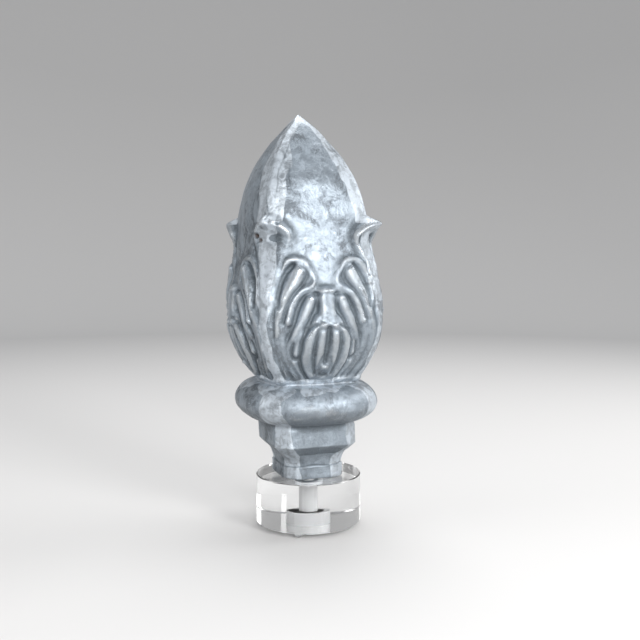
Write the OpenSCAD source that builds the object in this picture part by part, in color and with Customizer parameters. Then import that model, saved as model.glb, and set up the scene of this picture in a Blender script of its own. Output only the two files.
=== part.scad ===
// Pressed zinc roof finial, mounted on a clear acrylic disc as a desk ornament.
// Frame: origin at the centre of the underside of the feet, +Z up.
// The flat faces look along X and Y, and the soldered corners lie on the diagonals.

/* [Acrylic base] */
// Diameter of the clear disc
disc_d = 76; // [66:1:110]
// Thickness of the clear disc
disc_h = 35; // [20:1:50]
// Bevel around the disc's two rims
disc_bevel = 0.6; // [0.2:0.1:1.5]
// Gap all round between a centred screw and the disc's hole
hole_room = 1.3; // [0.3:0.1:2]
// Least gap left between the washer and the counterbore's wall
washer_room = 0.3; // [0.1:0.1:2]
// Distance from the disc's underside up to the screw's head
head_recess = 3.4; // [0.5:0.1:6]

/* [Bumper feet] */
// Diameter of one clear rubber bumper
foot_d = 8; // [5:0.5:11]
// Height of one bumper
foot_h = 3.2; // [1.5:0.1:4]
// Flat spot worn on the underside of a bumper
foot_flat_d = 3; // [1:0.5:4]
// Distance from the disc's bevel in to the edge of a bumper
foot_margin = 0.4; // [0:0.1:8]
// Turn of the first bumper from the X axis, in degrees
foot_turn = -31; // [-45:1:45]

/* [Screw] */
// Outside diameter of the steel screw
screw_d = 6.4; // [5:0.1:7]
// Depth to which the screw runs into the zinc
screw_reach = 15; // [8:1:24]
// Width of the hexagonal head across its corners
head_d = 12.8; // [10:0.1:15]
// Height of the hexagonal head
head_h = 4.4; // [3:0.1:5.5]
// Outside diameter of the washer
washer_d = 18; // [15:0.5:19.5]
// Thickness of the washer
washer_h = 1.6; // [1:0.1:2]
// Gap all round between the screw and the hole it turns into
thread_clearance = 0.1; // [0.05:0.05:0.3]

/* [Zinc plinth and tiers] */
// Width of the plinth across its flats
plinth_w = 43.4; // [36:0.5:50]
// Height of the plinth
plinth_h = 9; // [6:0.5:14]
// Cut taken off each corner of the plinth
plinth_cut = 6; // [3:0.5:9]
// Height of the flared neck above the plinth
flare_h = 9; // [6:0.5:14]
// Width of the flared neck at its top
flare_w = 46.5; // [44:0.5:54]
// Width of the wide tier across its flats
tier_w = 61.6; // [56:0.5:70]
// Height of the wide tier, with its sloping underside
tier_h = 23; // [16:0.2:28]
// Height of the sloping underside
tier_slope_h = 6.7; // [3:0.1:10]
// Cut taken off each corner of the wide tier
tier_cut = 10; // [5:0.5:14]

/* [Zinc torus] */
// Height of the torus moulding
torus_h = 28.8; // [22:0.2:38]
// Radius of the torus to its rounded corners
torus_r = 53.6; // [46:0.2:60]
// Radius at which the torus springs from the tier
torus_foot_r = 33; // [28:0.5:36]

/* [Zinc bud] */
// Height of the carved bud, from the neck to the leaf tips
bud_h = 111.5; // [90:0.5:140]
// Radius of the neck to its corners
neck_r = 36; // [32:0.5:40]
// Radius of the bud to its corners where it is widest
belly_r = 58; // [50:0.5:64]
// Radius of the bud to its corners under the leaf tips
shoulder_r = 51; // [44:0.5:56]
// Radius from the axis to the curled leaf tips
leaf_tip_r = 61.5; // [54:0.5:68]
// Height of the plain pointed cap above the leaf tips
cap_h = 77; // [60:1:100]
// Distance that the point leans past the plinth
lean = 5.8; // [0:0.1:12]
// Compass direction in which the finial leans, in degrees from the X axis
lean_turn = 161; // [0:1:359]
// Height of the carving above the sheet
relief_h = 3.2; // [0:0.2:5]

/* [Hidden] */
$fn = 96;
join = 0.02;

// The screw's play in the disc lets the finial sit to the side that it leans to.
seat_play = hole_room - thread_clearance;
hole_d = screw_d + 2 * hole_room;
counterbore_d = washer_d + 2 * (seat_play + washer_room);
counterbore_depth = head_recess + head_h + washer_h;
foot_ring_r = disc_d / 2 - disc_bevel - foot_margin - foot_d / 2;
seat = [seat_play * cos(lean_turn), seat_play * sin(lean_turn), 0];

disc_top = foot_h + disc_h;
plinth_top = disc_top + plinth_h;
tier_base = plinth_top + flare_h;
tier_top = tier_base + tier_h;
torus_mid = tier_top + torus_h / 2 - 1;
neck_z = torus_mid + torus_h / 2;
leaf_z = neck_z + bud_h;
tip_z = leaf_z + cap_h;

face_cols = 22;
cols = 4 * face_cols;
torus_rows = 9;
bud_rows = 35;
cap_rows = 8;

// Share of the bud's height, from 0 at the neck to 1 at the leaf tips.
function rise(z) = (z - neck_z) / bud_h;
function height_of(share) = neck_z + share * bud_h;
function clamp01(t) = max(0, min(1, t));
function ease(t) = let (c = clamp01(t)) c * c * (3 - 2 * c);
// A smooth bump: 1 on its centre line, 0 at the distance w and beyond.
function bump(d, w) = d >= w ? 0 : (1 + cos(180 * d / w)) / 2;

// The plan is a square with bowed sides. flat_share is the face's distance
// from the axis as a share of the corner's.
function plan_r(turn, corner_r, flat_share) =
    let (half_side = corner_r * sin(45),
         bow = corner_r * flat_share - half_side,
         bow_r = (half_side * half_side + bow * bow) / (2 * bow),
         centre = corner_r * flat_share - bow_r)
    centre * cos(turn) + sqrt(bow_r * bow_r - pow(centre * sin(turn), 2));

// Corner radius of the plain bud and its cap, without the carving.
function belly(t) = neck_r + (belly_r - neck_r) * pow(sin(90 * clamp01(t / 0.42)), 0.8);
function bud_corner_r(z) =
    let (t = rise(z))
    t < 0.42 ? belly(t)
    : t < 1.05 ? belly_r + (shoulder_r - belly_r) * ease((t - 0.42) / 0.66)
    : cap_corner_r(z);
function cap_corner_r(z) = shoulder_r * (1 - pow(clamp01(1 - (tip_z - z) / (cap_h * 1.09)), 2.2));

// Distance from a point to a line of points, in the plane of a face.
function to_segment(p, a, b) =
    let (ab = b - a, t = clamp01(((p - a) * ab) / (ab * ab))) norm(p - a - ab * t);
function to_path(p, path) = min([for (i = [0 : len(path) - 2]) to_segment(p, path[i], path[i + 1])]);

// Centre lines of the carving on one half of a face: [share of the belly's
// half width, share of the bud's height]. Both halves of all four faces use them.
side_lobe_rim = [[0.86, 0.55], [0.84, 0.62], [0.74, 0.73], [0.54, 0.765], [0.34, 0.72]];
side_lobe_rib = [[0.46, 0.67], [0.62, 0.58], [0.78, 0.46], [0.84, 0.34], [0.8, 0.24], [0.6, 0.1]];
bar = [[0, 0.57], [0, 0.42]];
brow = [[0.1, 0.59], [0.32, 0.58], [0.5, 0.535], [0.62, 0.46], [0.67, 0.41]];
low_rib = [[0.26, 0.5], [0.36, 0.45], [0.46, 0.37], [0.57, 0.29]];
palmette_edge = [[0.06, 0.385], [0.25, 0.36], [0.36, 0.28], [0.38, 0.2], [0.3, 0.1], [0.12, 0.04]];
palmette_groove = [[0, 0.34], [0, 0.12]];

belly_half = belly_r * sin(45);
function on_face(path) = [for (q = path) [q[0] * belly_half, height_of(q[1])]];
function ridge(p, path, w) = bump(to_path(p, on_face(path)), w);

// Carving on a face at s mm from its middle, from 0 on the sheet to about 1.
function face_relief(s, z) =
    rise(z) > 0.88 || rise(z) < 0 ? 0
    : let (p = [abs(s), z])
      max(ridge(p, side_lobe_rim, 6),
          ridge(p, side_lobe_rib, 6),
          ridge(p, bar, 7),
          0.8 * ridge(p, brow, 6),
          ridge(p, low_rib, 6),
          0.9 * ridge(p, palmette_edge, 6.5))
      - 0.5 * ridge(p, palmette_groove, 6);

// Half width of the leaf that clasps each corner, wide under its curled tip.
function leaf_half(z) = let (t = rise(z)) 3.5 + 9.5 * ease((t - 0.5) / 0.36);
// Height of the leaf's lip at w mm to the side of the corner.
function lip_z(w) = leaf_z - 9 * pow(min(1, abs(w) / 13), 2);
function leaf_out(w, z) =
    let (half = leaf_half(z),
         side = 1 - ease((abs(w) - half + 3) / 4.5),
         curl = leaf_tip_r - shoulder_r - relief_h + 1,
         below = lip_z(w) - z,
         lip = below >= 0 ? exp(-pow(below / 6, 2)) : 1 - ease(-below / 6.5))
    side * (below >= 0 ? relief_h + curl * lip * (1 - 0.6 * pow(min(1, abs(w) / 13), 2))
                       : (relief_h + curl * (1 - 0.6 * pow(min(1, abs(w) / 13), 2))) * lip);

// Radius of the carved bud at a turn from the middle of the nearest face.
function bud_r(turn, z) =
    let (r = plan_r(turn, bud_corner_r(z), bud_flat_share(z)),
         s = r * sin(turn),
         w = r * sin(45 - abs(turn)))
    r + max(relief_h * face_relief(s, z), leaf_out(w, z));
function bud_flat_share(z) = 0.83 + 0.05 * bump(abs(rise(z) - 0.35), 0.6);

function torus_corner_r(up) = torus_foot_r + (torus_r - torus_foot_r) * pow(cos(up), up < 0 ? 1.25 : 1);

// Settling of the finial to one side, from none at the wide tier up.
function settle(z) = let (d = lean * max(0, z - tier_base) / (tip_z - tier_base)) [d * cos(lean_turn), d * sin(lean_turn)];
function turn_of(i) = 360 * i / cols;
function face_turn(i) = let (a = turn_of(i) % 90) a > 45 ? a - 90 : a;
function ring(z, radii) = [for (i = [0 : cols - 1])
    [radii[i] * cos(turn_of(i)) + settle(z)[0], radii[i] * sin(turn_of(i)) + settle(z)[1], z]];

torus_rings = [for (j = [0 : torus_rows - 1])
    let (up = -84 + 166 * j / (torus_rows - 1), z = torus_mid + torus_h / 2 * sin(up))
    ring(z, [for (i = [0 : cols - 1]) plan_r(face_turn(i), torus_corner_r(up), 0.92)])];
bud_rings = [for (j = [0 : bud_rows - 1])
    let (z = neck_z + 1 + (bud_h + 7 - 1) * j / (bud_rows - 1))
    ring(z, [for (i = [0 : cols - 1]) bud_r(face_turn(i), z)])];
cap_rings = [for (j = [1 : cap_rows])
    let (z = leaf_z + 7 + (cap_h - 7) * sin(88 * j / (cap_rows + 0.6)))
    ring(z, [for (i = [0 : cols - 1]) plan_r(face_turn(i), cap_corner_r(z), 0.83)])];

module swept(rings, apex) {
    n = len(rings);
    top = n * cols;
    points = [for (r = rings) each r, apex];
    // Both halves of a face are split along mirrored diagonals.
    walls = [for (j = [0 : n - 2], i = [0 : cols - 1])
        let (k = (i + 1) % cols, a = j * cols + i, b = a + cols, c = (j + 1) * cols + k, d = c - cols)
        each face_turn(i) >= 0 && face_turn(i) < 45 ? [[a, b, c], [a, c, d]] : [[a, b, d], [b, c, d]]];
    point_faces = [for (i = [0 : cols - 1]) [(n - 1) * cols + i, top, (n - 1) * cols + (i + 1) % cols]];
    polyhedron(points, concat([[for (i = [0 : cols - 1]) i]], walls, point_faces), convexity = 8);
}

module cut_square(w, cut) {
    h = w / 2;
    polygon([[h, cut - h], [h, h - cut], [h - cut, h], [cut - h, h],
             [-h, h - cut], [-h, cut - h], [cut - h, -h], [h - cut, -h]]);
}

// A frustum between two cut squares, one above the other.
module cut_frustum(w1, cut1, w2, cut2, h) {
    hull() {
        linear_extrude(height = join) cut_square(w1, cut1);
        translate([0, 0, h - join]) linear_extrude(height = join) cut_square(w2, cut2);
    }
}

module zinc_finial() {
    color("slategray")
    translate(seat)
    difference() {
        union() {
            swept(concat(torus_rings, bud_rings, cap_rings), [settle(tip_z)[0], settle(tip_z)[1], tip_z]);
            translate([0, 0, disc_top]) linear_extrude(height = plinth_h) cut_square(plinth_w, plinth_cut);
            translate([0, 0, plinth_top]) cut_frustum(plinth_w - 1, plinth_cut, flare_w, plinth_cut, flare_h);
            translate([0, 0, tier_base])
                cut_frustum(flare_w, plinth_cut, tier_w, tier_cut, tier_slope_h);
            translate([0, 0, tier_base + tier_slope_h])
                linear_extrude(height = tier_h - tier_slope_h) cut_square(tier_w, tier_cut);
        }
        translate([0, 0, disc_top - 1]) cylinder(h = screw_reach + 2, d = screw_d + 2 * thread_clearance);
    }
}

module acrylic_base() {
    r = disc_d / 2;
    color("lightcyan", 0.4)
    translate([0, 0, foot_h])
    rotate_extrude()
        polygon([[counterbore_d / 2, 0], [r - disc_bevel, 0], [r, disc_bevel],
                 [r, disc_h - disc_bevel], [r - disc_bevel, disc_h], [hole_d / 2, disc_h],
                 [hole_d / 2, counterbore_depth], [counterbore_d / 2, counterbore_depth]]);
}

module screw_washer() {
    color("gainsboro")
    translate(seat + [0, 0, foot_h + counterbore_depth - washer_h])
    difference() {
        cylinder(h = washer_h, d = washer_d);
        translate([0, 0, -1]) cylinder(h = washer_h + 2, d = screw_d + 2 * thread_clearance);
    }
}

module mounting_screw() {
    head_top = foot_h + counterbore_depth - washer_h;
    color("silver")
    translate(seat)
    union() {
        translate([0, 0, head_top - head_h]) cylinder(h = head_h, d = head_d, $fn = 6);
        translate([0, 0, head_top - join]) cylinder(h = disc_top + screw_reach - head_top + join, d = screw_d);
    }
}

// A cap cut from a ball, with a small flat underneath.
module bumper_foot(place) {
    rim = foot_d / 2;
    flat = foot_flat_d / 2;
    ball_z = (rim * rim + foot_h * foot_h - flat * flat) / (2 * foot_h);
    color("whitesmoke", 0.5)
    rotate([0, 0, foot_turn + 90 * (place - 1)])
    translate([foot_ring_r, 0, 0])
    intersection() {
        translate([0, 0, ball_z]) sphere(r = norm([flat, ball_z]));
        cylinder(h = foot_h, r = rim);
    }
}

zinc_finial();
acrylic_base();
mounting_screw();
screw_washer();
bumper_foot(1);  // bumper_foot_1
bumper_foot(2);  // bumper_foot_2
bumper_foot(3);  // bumper_foot_3
bumper_foot(4);  // bumper_foot_4
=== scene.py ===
"""Finish of a pressed zinc roof finial on a clear acrylic display base."""

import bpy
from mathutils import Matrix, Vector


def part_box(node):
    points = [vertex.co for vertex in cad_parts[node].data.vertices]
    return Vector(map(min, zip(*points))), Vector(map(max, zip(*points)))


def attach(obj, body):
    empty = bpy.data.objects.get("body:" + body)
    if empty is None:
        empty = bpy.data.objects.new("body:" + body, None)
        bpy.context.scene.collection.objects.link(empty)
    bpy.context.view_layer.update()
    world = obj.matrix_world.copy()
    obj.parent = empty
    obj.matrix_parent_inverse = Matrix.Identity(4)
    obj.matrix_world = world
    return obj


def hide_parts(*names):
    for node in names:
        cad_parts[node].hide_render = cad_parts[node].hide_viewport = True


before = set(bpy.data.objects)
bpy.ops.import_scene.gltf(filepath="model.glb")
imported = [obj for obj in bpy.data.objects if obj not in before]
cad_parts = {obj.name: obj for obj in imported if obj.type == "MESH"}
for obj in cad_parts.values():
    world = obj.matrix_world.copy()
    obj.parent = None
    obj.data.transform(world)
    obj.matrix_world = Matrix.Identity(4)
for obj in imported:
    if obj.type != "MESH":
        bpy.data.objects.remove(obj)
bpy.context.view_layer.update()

import math

import bpy
import numpy as np
from bpy.props import FloatProperty, FloatVectorProperty, IntProperty, PointerProperty
from mathutils import Vector

bl_info = {
    "name": "Zinc roof finial",
    "version": (1, 0, 0),
    "blender": (4, 5, 0),
    "location": "3D View > Sidebar > Finial",
    "description": "Builds the carved zinc finial, its acrylic base, screw and feet",
    "category": "Object",
}

MM = 0.001
BODY = "root"


def box_mm(node):
    """Lowest and highest corner of a CAD node, in millimetres."""
    low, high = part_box(node)
    return np.array(low) / MM, np.array(high) / MM


DISC_LOW, DISC_HIGH = box_mm("acrylic_base")
SCREW_LOW, SCREW_HIGH = box_mm("mounting_screw")
WASHER_LOW, WASHER_HIGH = box_mm("screw_washer")
FOOT_LOW, FOOT_HIGH = box_mm("bumper_foot_1")

# The screw stands a little to one side in its hole, and the finial with it.
SEAT = ((SCREW_LOW + SCREW_HIGH) / 2)[:2]
DISC_TOP = DISC_HIGH[2]
TIP_Z = box_mm("zinc_finial")[1][2]

# Heights of the zinc's stages, then the levels where they meet, in millimetres.
PLINTH_H, FLARE_H, SLOPE_H, TIER_H, TORUS_H, BUD_H = 9, 9, 6.7, 23, 28.8, 111.5
TORUS_SINK = 1
PLINTH_TOP = DISC_TOP + PLINTH_H
TIER_BASE = PLINTH_TOP + FLARE_H
TIER_SLOPE = TIER_BASE + SLOPE_H
TIER_TOP = TIER_BASE + TIER_H
TORUS_MID = TIER_TOP + TORUS_H / 2 - TORUS_SINK
NECK_Z = TORUS_MID + TORUS_H / 2
BUD_FOOT = NECK_Z + 0.4
LEAF_Z = NECK_Z + BUD_H
CAP_H = TIP_Z - LEAF_Z

# Turns round the axis, anticlockwise from +X, and half of one face's turn.
LEAN_TURN = math.radians(161)
LEAN_WAY = np.array([math.cos(LEAN_TURN), math.sin(LEAN_TURN)])
DAMAGED_CORNER = math.radians(-135)
FRONT = -math.pi / 2
HALF_FACE = math.pi / 4


# ---------------------------------------------------------------- settings


class ZincSettings(bpy.types.PropertyGroup):
    columns_per_face: IntProperty(
        name="Columns per face", description="Mesh columns across each of the four faces",
        default=88, min=24, max=92)
    relief: FloatProperty(
        name="Relief", description="Strength of the pressed ornament", default=1.15, min=0.2,
        max=2.0, subtype="FACTOR")
    lean: FloatProperty(
        name="Lean", description="Distance that the point leans past the plinth", default=5.8 * MM,
        min=0.0, max=0.012, unit="LENGTH")
    patina: FloatVectorProperty(
        name="Patina", description="Colour of the weathered zinc", subtype="COLOR", size=3,
        default=(0.34, 0.39, 0.44), min=0.0, max=1.0)
    # Painted shade: the colour laid into the hollows and creases; the dark seams use it too.
    recess: FloatVectorProperty(
        name="Recesses", description="Colour of the dirt in the hollows", subtype="COLOR", size=3,
        default=(0.075, 0.095, 0.11), min=0.0, max=1.0)
    # Painted highlight with some rubbed wear: the colour laid on the crests of the carving and the
    # edges of the lower stages.
    crest: FloatVectorProperty(
        name="Crests", description="Colour of the rubbed ridges", subtype="COLOR", size=3,
        default=(0.62, 0.66, 0.69), min=0.0, max=1.0)
    solder: FloatVectorProperty(
        name="Solder", description="Colour of the solder along the corners", subtype="COLOR",
        size=3, default=(0.64, 0.70, 0.76), min=0.0, max=1.0)


class BaseSettings(bpy.types.PropertyGroup):
    bevel: FloatProperty(
        name="Rim bevel", description="Bevel round the disc's rims", default=0.6 * MM, min=0.0002,
        max=0.0015, unit="LENGTH")
    hole_radius: FloatProperty(
        name="Hole radius", description="Radius of the screw's clearance hole", default=4.5 * MM,
        min=0.003, max=0.006, unit="LENGTH")
    counterbore_radius: FloatProperty(
        name="Counterbore radius", description="Radius of the counterbore", default=10.5 * MM,
        min=0.008, max=0.013, unit="LENGTH")
    thread_pitch: FloatProperty(
        name="Thread pitch", description="Rise of the screw's thread in one turn",
        default=1.27 * MM, min=0.0005, max=0.002, unit="LENGTH")


class StageSettings(bpy.types.PropertyGroup):
    camera_turn: FloatProperty(
        name="Camera turn", description="Camera's turn round the finial", default=math.radians(-19),
        subtype="ANGLE")
    camera_distance: FloatProperty(
        name="Camera distance", description="From the camera to the axis", default=0.62,
        unit="LENGTH")
    camera_height: FloatProperty(
        name="Camera height", description="Height of the camera above the table", default=0.1996,
        unit="LENGTH")
    lens: FloatProperty(name="Lens", description="Focal length in millimetres", default=48.4)
    backdrop: FloatVectorProperty(
        name="Backdrop", description="Colour of the floor and backdrop", subtype="COLOR", size=3,
        default=(0.75, 0.74, 0.73), min=0.0, max=1.0)


# ------------------------------------------------------------ small helpers


def ease(t):
    """A smooth step from 0 to 1 as t goes from 0 to 1."""
    t = np.clip(t, 0.0, 1.0)
    return t * t * (3 - 2 * t)


def bump(distance, width):
    """1 on a centre line, falling smoothly to 0 at width."""
    height = 0.5 + 0.5 * np.cos(np.pi * np.minimum(distance / width, 1))
    return np.where(distance < width, height, 0.0)


def smooth_curve(points, closed=False, steps=5):
    """Points along a smooth curve through the given points."""
    p = np.array(points, float)
    n = len(p)
    spans = n if closed else n - 1
    pick = (lambda i: p[i % n]) if closed else (lambda i: p[min(max(i, 0), n - 1)])
    out = []
    for i in range(spans):
        a, b, c, d = pick(i - 1), pick(i), pick(i + 1), pick(i + 2)
        for t in np.arange(steps) / steps:
            out.append(0.5 * (2 * b + (c - a) * t + (2 * a - 5 * b + 4 * c - d) * t * t
                              + (3 * b - a - 3 * c + d) * t ** 3))
    out.append(p[0] if closed else p[-1])
    return np.array(out)


def along(x, y, line):
    """Distance from each (x, y) to a line of points, and how far along the line that is."""
    best = np.full(x.shape, 1e9)
    share = np.zeros(x.shape)
    count = len(line) - 1
    for i in range(count):
        (ax, ay), (bx, by) = line[i], line[i + 1]
        dx, dy = bx - ax, by - ay
        t = np.clip(((x - ax) * dx + (y - ay) * dy) / (dx * dx + dy * dy + 1e-12), 0, 1)
        d = np.hypot(x - ax - t * dx, y - ay - t * dy)
        nearer = d < best
        best = np.where(nearer, d, best)
        share = np.where(nearer, (i + t) / count, share)
    return best, share


def inside_depth(x, y, outline):
    """Distance inside a closed outline, negative outside it."""
    depth, _ = along(x, y, outline)
    odd = np.zeros(x.shape, bool)
    for (ax, ay), (bx, by) in zip(outline[:-1], outline[1:]):
        crosses = (ay > y) != (by > y)
        odd ^= crosses & (x < (bx - ax) * (y - ay) / (by - ay + 1e-12) + ax)
    return np.where(odd, depth, -depth)

def waves(points, seed, longest, shortest, count=20):
    """A sum of fixed random plane waves: a smooth unevenness in space."""
    draw = np.random.default_rng(seed)
    way = draw.normal(size=(count, 3))
    way /= np.linalg.norm(way, axis=1)[:, None]
    pace = way * (2 * np.pi / draw.uniform(shortest, longest, count))[:, None]
    phase = draw.uniform(0, 2 * np.pi, count)
    return np.sin(points @ pace.T + phase).sum(-1) / math.sqrt(count / 2)


def turn_from(middle, around):
    """Turns from a middle bearing, between minus and plus half a circle."""
    return (around - middle + np.pi) % (2 * np.pi) - np.pi


def full_circle(count):
    """Turns of evenly spaced points round a circle."""
    return 2 * np.pi * np.arange(count) / count


def rings(profile, turn, centre=(0, 0)):
    """One ring of points for each (radius, height) of a profile."""
    return [np.stack([centre[0] + r * np.cos(turn), centre[1] + r * np.sin(turn),
                      np.full(len(turn), z)], -1) for r, z in profile]


def grid_faces(row_count, columns, first=0, loop=False):
    """Quads between neighbouring rings; loop also joins the last ring to the first."""
    faces = []
    for j in range(row_count if loop else row_count - 1):
        low, high = first + j * columns, first + (j + 1) % row_count * columns
        faces += [(low + i, low + (i + 1) % columns, high + (i + 1) % columns, high + i)
                  for i in range(columns)]
    return faces


def fan_faces(first, count, hub, down=False):
    """Triangles from a ring of points to a hub; down turns them to face the other way."""
    pairs = [(first + i, first + (i + 1) % count) for i in range(count)]
    return [(b, a, hub) if down else (a, b, hub) for a, b in pairs]


def link_object(name, data):
    """A new object that holds some data, linked to the scene."""
    obj = bpy.data.objects.new(name, data)
    bpy.context.scene.collection.objects.link(obj)
    return obj


def new_object(name, vertices, faces, materials):
    """A smooth mesh object in metres from vertices in millimetres."""
    mesh = bpy.data.meshes.new(name)
    mesh.from_pydata((np.asarray(vertices) * MM).tolist(), [], faces)
    mesh.update()
    for material in materials:
        mesh.materials.append(material)
    mesh.polygons.foreach_set("use_smooth", [True] * len(mesh.polygons))
    return link_object(name, mesh)


def smooth_by_angle(obj, degrees):
    """Shades a mesh smooth but for edges sharper than an angle."""
    obj.data.polygons.foreach_set("use_smooth", [True] * len(obj.data.polygons))
    obj.data.set_sharp_from_angle(angle=math.radians(degrees))


def settle_in(obj, slot, *nodes):
    """Ties a finished piece to its body and hides the CAD nodes it stands for. Its finish, slot, is
    not used.
    """
    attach(obj, BODY)
    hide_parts(*nodes)


# ---------------------------------------------------------------- materials

ACRYLIC_IOR = 1.49
RUST = (0.085, 0.045, 0.025)


class Nodes:
    """Short calls for building one material's node tree."""

    def __init__(self, name):
        self.material = bpy.data.materials.new(name)
        self.material.use_nodes = True
        self.tree = self.material.node_tree
        self.shader = self.tree.nodes["Principled BSDF"]

    def add(self, kind, **settings):
        node = self.tree.nodes.new(kind)
        for key, value in settings.items():
            setattr(node, key, value)
        return node

    def link(self, source, target):
        self.tree.links.new(source, target)

    def place(self):
        return self.add("ShaderNodeTexCoord").outputs["Object"]

    def value(self, name):
        return self.add("ShaderNodeAttribute", attribute_name=name).outputs["Fac"]

    def noise(self, scale, detail=4.0, roughness=0.55, stretch=(1, 1, 1), distortion=0.0):
        mapping = self.add("ShaderNodeMapping")
        mapping.inputs["Scale"].default_value = stretch
        self.link(self.place(), mapping.inputs["Vector"])
        node = self.add("ShaderNodeTexNoise")
        self.link(mapping.outputs["Vector"], node.inputs["Vector"])
        node.inputs["Scale"].default_value = scale
        node.inputs["Detail"].default_value = detail
        node.inputs["Roughness"].default_value = roughness
        node.inputs["Distortion"].default_value = distortion
        return node.outputs["Fac"]

    def ramp(self, source, low, high, out_low=0.0, out_high=1.0):
        node = self.add("ShaderNodeMapRange", interpolation_type="SMOOTHSTEP")
        self.link(source, node.inputs["Value"])
        node.inputs["From Min"].default_value = low
        node.inputs["From Max"].default_value = high
        node.inputs["To Min"].default_value = out_low
        node.inputs["To Max"].default_value = out_high
        return node.outputs["Result"]

    def math(self, operation, a, b):
        node = self.add("ShaderNodeMath", operation=operation)
        for socket, item in zip(node.inputs, (a, b)):
            if isinstance(item, (int, float)):
                socket.default_value = item
            else:
                self.link(item, socket)
        return node.outputs["Value"]

    def plus(self, a, b):
        return self.math("ADD", a, b)

    def less(self, a, b):
        return self.math("SUBTRACT", a, b)

    def times(self, a, b):
        return self.math("MULTIPLY", a, b)

    def mix(self, share, first, second):
        node = self.add("ShaderNodeMix", data_type="RGBA")
        for key, item in (("Factor_Float", share), ("A_Color", first), ("B_Color", second)):
            socket = next(s for s in node.inputs if s.identifier == key)
            if isinstance(item, (int, float)):
                socket.default_value = item
            elif isinstance(item, (tuple, list)) or hasattr(item, "r"):
                socket.default_value = (*tuple(item)[:3], 1.0)
            else:
                self.link(item, socket)
        return next(s for s in node.outputs if s.identifier == "Result_Color")

    def bump(self, height, strength, distance, normal=None):
        node = self.add("ShaderNodeBump")
        node.inputs["Strength"].default_value = strength
        node.inputs["Distance"].default_value = distance
        self.link(height, node.inputs["Height"])
        if normal is not None:
            self.link(normal, node.inputs["Normal"])
        return node.outputs["Normal"]


def zinc_material(colours):
    """Weathered zinc with pale solder and a few rust spots, painted shade in the hollows and under
    overhangs, and painted highlight with some rubbed wear on the ridges.
    """
    n = Nodes("patinated_zinc")
    shader = n.shader.inputs
    cloud = n.noise(16, detail=3, roughness=0.55)
    blotch = n.noise(48, detail=8, roughness=0.70, distortion=1.2)
    mottle = n.noise(170, detail=7, roughness=0.72, distortion=0.8)
    speck = n.noise(700, detail=4, roughness=0.7)
    streak = n.noise(120, detail=6, roughness=0.7, stretch=(1, 1, 0.13), distortion=0.6)
    cavity, low, seam, rust = (n.value(name) for name in ("cavity", "low", "seam", "rust"))

    def ruffle(base, *noises):
        """A base with uneven noise added to it, each noise at its own strength."""
        for noise, strength in noises:
            base = n.plus(base, n.times(n.less(noise, 0.5), strength))
        return base

    patch = n.ramp(ruffle(cloud, (blotch, 2.2), (mottle, 1.3)), 0.36, 0.76)
    bloom = n.ramp(ruffle(streak, (mottle, 1.2)), 0.50, 0.68)
    # Painted shade: the hollows and creases, where the cavity field is low, darkened towards the
    # recess colour.
    shaded_hollow = n.ramp(ruffle(cavity, (blotch, 1.6)), 0.05, -0.75)
    # Painted highlight with some rubbed wear: the crests, where the cavity field is high, lightened
    # towards the crest colour.
    crest_highlight_and_wear = n.ramp(ruffle(cavity, (blotch, 2.0), (mottle, 1.0)), 0.25, 0.9)
    band = n.ramp(ruffle(n.value("solder"), (blotch, 0.8)), 0.40, 0.54)
    fleck = n.ramp(ruffle(streak, (mottle, 1.4)), 0.34, 0.60)
    dust = n.ramp(speck, 0.56, 0.75)

    dark = tuple(c * 0.34 for c in colours.patina)
    pale = tuple(min(1, c * 1.7) for c in colours.patina)
    solder_tone = n.mix(fleck, tuple(c * 0.6 for c in colours.solder), colours.solder)
    tone = colours.patina
    # Colours laid over the patina: low and the hollows are painted shade, the crests painted
    # highlight with some rubbed wear; the rest are the zinc's own blotches, bloom, solder, dust,
    # seams and rust.
    for mask, strength, colour in (
            (patch, 0.85, dark), (bloom, 0.38, pale), (low, 0.5, dark),
            (shaded_hollow, 0.66, colours.recess), (crest_highlight_and_wear, 0.5, colours.crest), (band, 0.8, solder_tone),
            (dust, 0.35, pale), (seam, 0.8, colours.recess), (rust, 0.9, RUST)):
        tone = n.mix(n.times(mask, strength), tone, colour)
    n.link(tone, shader["Base Color"])

    rough = n.ramp(ruffle(blotch, (mottle, 1.0)), 0.30, 0.70, 0.29, 0.52)
    for mask, gain in ((shaded_hollow, 0.14), (crest_highlight_and_wear, -0.08), (low, 0.12), (rust, 0.3)):
        rough = n.plus(rough, n.times(mask, gain))
    n.link(rough, shader["Roughness"])
    shine = n.ramp(mottle, 0.35, 0.65, 0.82, 0.62)
    for mask, loss in ((shaded_hollow, 0.3), (low, 0.35), (rust, 0.4)):
        shine = n.less(shine, n.times(mask, loss))
    n.link(shine, shader["Metallic"])
    fine = n.bump(n.plus(n.times(mottle, 0.7), n.times(speck, 0.3)), 0.5, 0.0006)
    n.link(n.bump(blotch, 0.5, 0.0022, fine), shader["Normal"])
    return n.material


def acrylic_material():
    """Polished clear acrylic."""
    n = Nodes("clear_acrylic")
    shader = n.shader.inputs
    shader["Base Color"].default_value = (0.985, 0.99, 0.992, 1)
    shader["Roughness"].default_value = 0.015
    shader["IOR"].default_value = ACRYLIC_IOR
    shader["Transmission Weight"].default_value = 1.0
    ripple = n.noise(9, detail=2)
    n.link(n.bump(ripple, 0.02, 0.001), shader["Normal"])
    return n.material


def frosted_material():
    """Acrylic left matt by the drill, with faint tool rings."""
    n = Nodes("frosted_acrylic")
    shader = n.shader.inputs
    shader["Base Color"].default_value = (0.93, 0.94, 0.95, 1)
    shader["IOR"].default_value = ACRYLIC_IOR
    shader["Transmission Weight"].default_value = 0.15
    rings = n.noise(900, detail=2, stretch=(0.02, 0.02, 1))
    n.link(n.ramp(rings, 0.3, 0.7, 0.35, 0.6), shader["Roughness"])
    n.link(n.bump(rings, 0.5, 0.0004), shader["Normal"])
    return n.material


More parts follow.
